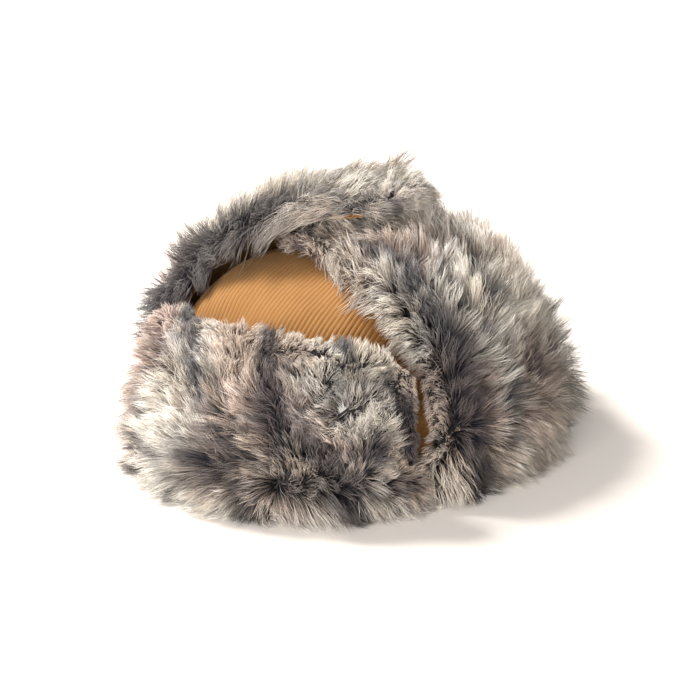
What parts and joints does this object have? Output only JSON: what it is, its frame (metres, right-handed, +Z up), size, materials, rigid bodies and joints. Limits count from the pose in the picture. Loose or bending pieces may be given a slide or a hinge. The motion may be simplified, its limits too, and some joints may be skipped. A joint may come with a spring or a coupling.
{
  "type": "trapper hat",
  "caption": "Winter trapper hat: corduroy crown with quilted lining, a tacked-up fur visor, and fur ear and neck flaps that fold down from over the crown.",
  "frame": {"origin": "centre of the hat's box, on the surface that its rim rests on", "axes": "+Z up, -Y the way the hat faces, +Y the back of the head, +X the wearer's left"},
  "size_m": [0.207, 0.2482, 0.1383],
  "materials": {
    "corduroy": "caramel wale corduroy",
    "fur": "long-pile faux fur, grey base with cream tips and mauve-brown patches",
    "lining": "quilted dark satin",
    "wadding": "polyester wadding",
    "ribbon": "ribbed ribbon",
    "label": "blank woven label",
    "board": "flexible board",
    "thread": "brown thread",
    "stud_metal": "dark plated"
  },
  "bodies": {
    "crown": {"crown_centre_panel": "corduroy", "crown_left_panel": "corduroy", "crown_right_panel": "corduroy", "wadding_centre_panel": "wadding", "wadding_left_panel": "wadding", "wadding_right_panel": "wadding", "lining_centre_panel": "lining", "lining_left_panel": "lining", "lining_right_panel": "lining", "sweatband": "ribbon", "size_label": "label", "visor_fur": "fur", "visor_stiffener": "board", "visor_backing": "corduroy", "visor_tack_left": "thread", "visor_tack_right": "thread"},
    "ear_flap_right": {"ear_flap_right_fur": "fur", "ear_flap_right_shell": "corduroy", "press_stud_socket": "stud_metal"},
    "ear_flap_left": {"ear_flap_left_fur": "fur", "ear_flap_left_shell": "corduroy", "press_stud_ball": "stud_metal"},
    "neck_flap": {"neck_flap_fur": "fur", "neck_flap_shell": "corduroy"}
  },
  "joints": [
    {"name": "ear_flap_right_fold", "type": "hinge", "parent": "crown", "child": "ear_flap_right", "pos_m": [-0.089, 0, 0], "axis": [0, -1, 0], "range_deg": [0, 180]},
    {"name": "ear_flap_left_fold", "type": "hinge", "parent": "crown", "child": "ear_flap_left", "pos_m": [0.089, 0, 0], "axis": [0, 1, 0], "range_deg": [0, 180]},
    {"name": "neck_flap_fold", "type": "hinge", "parent": "crown", "child": "neck_flap", "pos_m": [0, 0.1095, 0], "axis": [-1, 0, 0], "range_deg": [0, 180]}
  ],
  "couplings": [
    {"joint": "ear_flap_left_fold", "follows": "ear_flap_right_fold", "ratio": 1}
  ]
}
